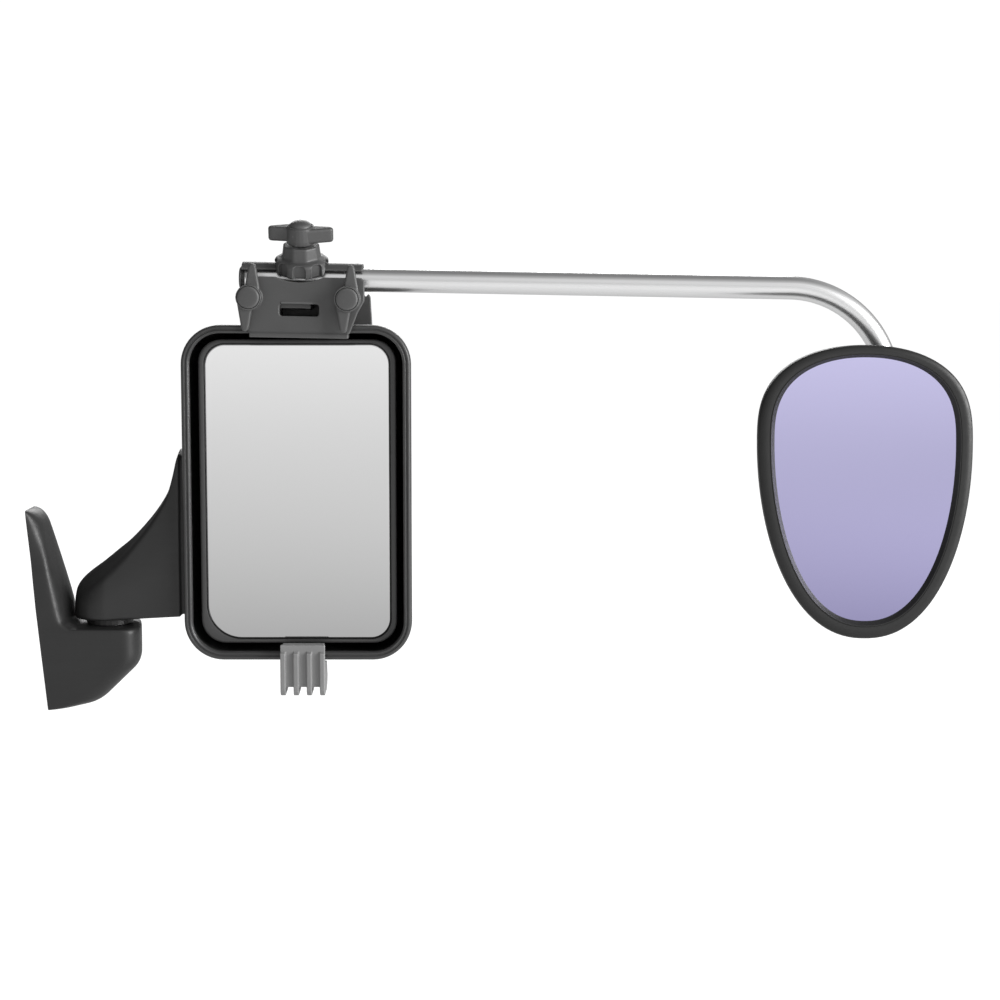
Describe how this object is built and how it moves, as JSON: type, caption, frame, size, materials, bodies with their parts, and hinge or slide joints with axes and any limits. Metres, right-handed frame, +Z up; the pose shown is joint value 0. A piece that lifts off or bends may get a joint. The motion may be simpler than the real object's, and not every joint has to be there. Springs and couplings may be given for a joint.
{
  "type": "car side mirror",
  "caption": "Folding van side mirror with a rectangular glass, carrying a clamp-on towing mirror on a bent aluminium tube with an egg-shaped tinted head.",
  "frame": {"origin": "centre of the face that rests on the door", "axes": "+X outboard along the arm, +Y forward (glass faces look towards -Y), +Z up"},
  "size_m": [0.6451, 0.123, 0.3388],
  "materials": {
    "black_plastic": "satin, finely grained",
    "rim_plastic": "satin",
    "grey_plastic": "glass-filled, matt",
    "hook_plastic": "satin",
    "rubber": "matt",
    "zinc_steel": "zinc plated",
    "cast_metal": "die cast",
    "anodised_aluminium": "satin anodised",
    "mirror_face": "polished",
    "tinted_mirror_face": "polished, lilac tint"
  },
  "bodies": {
    "door_base": {"door_gasket": "rubber", "base_cover": "black_plastic", "base_bracket": "cast_metal", "door_screw_lower": "zinc_steel", "door_screw_middle": "zinc_steel", "door_screw_upper": "zinc_steel", "detent_ring": "black_plastic"},
    "mirror_arm": {"arm_housing": "black_plastic", "rim_bezel": "rim_plastic", "pivot_shaft": "zinc_steel", "pivot_spring": "zinc_steel", "spring_washer_upper": "zinc_steel", "spring_washer_lower": "zinc_steel", "pivot_nut": "zinc_steel", "glass_bracket": "cast_metal", "bracket_screw_1": "zinc_steel", "bracket_screw_2": "zinc_steel", "bracket_screw_3": "zinc_steel", "ball_stud": "zinc_steel"},
    "glass_pivot": {"ball_cup": "black_plastic"},
    "glass_holder": {"glass_carrier": "rim_plastic", "mirror_glass": "mirror_face", "socket_retainer": "black_plastic"},
    "towing_clamp": {"clamp_saddle": "grey_plastic", "front_plate": "grey_plastic", "front_pad": "rubber", "pressure_bell": "grey_plastic", "strap": "rubber", "strap_pin": "zinc_steel", "strap_yoke": "grey_plastic"},
    "rear_jaw_body": {"rear_jaw": "grey_plastic", "rear_pad_left": "rubber", "rear_pad_right": "rubber", "jaw_nut_left": "zinc_steel", "jaw_nut_right": "zinc_steel"},
    "left_wing_screw": {"wing_knob_left": "grey_plastic", "wing_cap_left": "grey_plastic", "clamp_screw_left": "zinc_steel"},
    "right_wing_screw": {"wing_knob_right": "grey_plastic", "wing_cap_right": "grey_plastic", "clamp_screw_right": "zinc_steel"},
    "pad_body": {"pressure_pad": "rubber"},
    "knob_body": {"top_knob": "grey_plastic", "top_cap": "grey_plastic", "top_screw": "zinc_steel"},
    "sleeve_body": {"grip_sleeve": "rubber"},
    "tube_body": {"tube": "anodised_aluminium", "tube_plug": "grey_plastic"},
    "head_swivel": {"swivel_clamp": "black_plastic", "swivel_screw": "zinc_steel", "swivel_nut": "zinc_steel"},
    "head_cup_body": {"head_cup": "black_plastic"},
    "towing_head": {"head_shell": "black_plastic", "head_bezel": "rim_plastic", "head_glass": "tinted_mirror_face", "head_socket_ring": "black_plastic"},
    "strap_hook_body": {"strap_hook": "hook_plastic"}
  },
  "joints": [
    {"name": "fold", "type": "hinge", "parent": "door_base", "child": "mirror_arm", "pos_m": [0.0464, 0, 0], "axis": [0, 0, 1], "range_deg": [-80, 75]},
    {"name": "glass_pan", "type": "hinge", "parent": "mirror_arm", "child": "glass_pivot", "pos_m": [0.1812, 0.006, 0.08095], "axis": [0, 0, 1], "range_deg": [-9, 9]},
    {"name": "glass_tilt", "type": "hinge", "parent": "glass_pivot", "child": "glass_holder", "pos_m": [0.1812, 0.006, 0.08095], "axis": [1, 0, 0], "range_deg": [-8, 8]},
    {"name": "clamp_shift", "type": "slide", "parent": "mirror_arm", "child": "towing_clamp", "axis": [1, 0, 0], "range_m": [-0.01, 0.01]},
    {"name": "left_wing_turn", "type": "hinge", "parent": "towing_clamp", "child": "left_wing_screw", "pos_m": [0.15137, -0.014, 0.21538], "axis": [0, -1, 0], "range_deg": [0, 1440]},
    {"name": "right_wing_turn", "type": "hinge", "parent": "towing_clamp", "child": "right_wing_screw", "pos_m": [0.21776, -0.014, 0.21418], "axis": [0, -1, 0], "range_deg": [0, 1440]},
    {"name": "jaw_slide", "type": "slide", "parent": "towing_clamp", "child": "rear_jaw_body", "axis": [0, 1, 0], "range_m": [0, 0.00401]},
    {"name": "pad_slide", "type": "slide", "parent": "towing_clamp", "child": "pad_body", "axis": [0.0171, -0.342, 0.9395], "range_m": [0, 0.00201]},
    {"name": "top_knob_turn", "type": "hinge", "parent": "pad_body", "child": "knob_body", "pos_m": [0.1849, -0.014, 0.22767], "axis": [0.0171, -0.342, 0.9395], "range_deg": [0, 720]},
    {"name": "tube_turn", "type": "hinge", "parent": "towing_clamp", "child": "sleeve_body", "pos_m": [0.1835, -0.014, 0.2277], "axis": [0.9998, 0, -0.0182], "range_deg": [-90, 90]},
    {"name": "tube_slide", "type": "slide", "parent": "sleeve_body", "child": "tube_body", "axis": [0.9998, 0, -0.0182], "range_m": [-0.12, 0.02]},
    {"name": "head_pan", "type": "hinge", "parent": "tube_body", "child": "head_swivel", "pos_m": [0.5883, -0.014, 0.10833], "axis": [0.0182, 0, 0.9998], "range_deg": [-30, 30]},
    {"name": "head_tilt", "type": "hinge", "parent": "head_swivel", "child": "head_cup_body", "pos_m": [0.5883, -0.039, 0.10833], "axis": [1, 0, 0], "range_deg": [-15, 15]},
    {"name": "head_roll", "type": "hinge", "parent": "head_cup_body", "child": "towing_head", "pos_m": [0.5883, -0.039, 0.10833], "axis": [0, 1, 0], "range_deg": [-15, 15]},
    {"name": "hook_release", "type": "slide", "parent": "towing_clamp", "child": "strap_hook_body", "axis": [0, -1, 0], "range_m": [0, 0.012], "stiffness_N_per_m": 40, "deforming": ["strap"]}
  ],
  "couplings": [
    {"joint": "right_wing_turn", "follows": "left_wing_turn", "ratio": 1},
    {"joint": "jaw_slide", "follows": "left_wing_turn", "m_per_rad": 0.00015915},
    {"joint": "pad_slide", "follows": "top_knob_turn", "m_per_rad": 0.00015915}
  ]
}
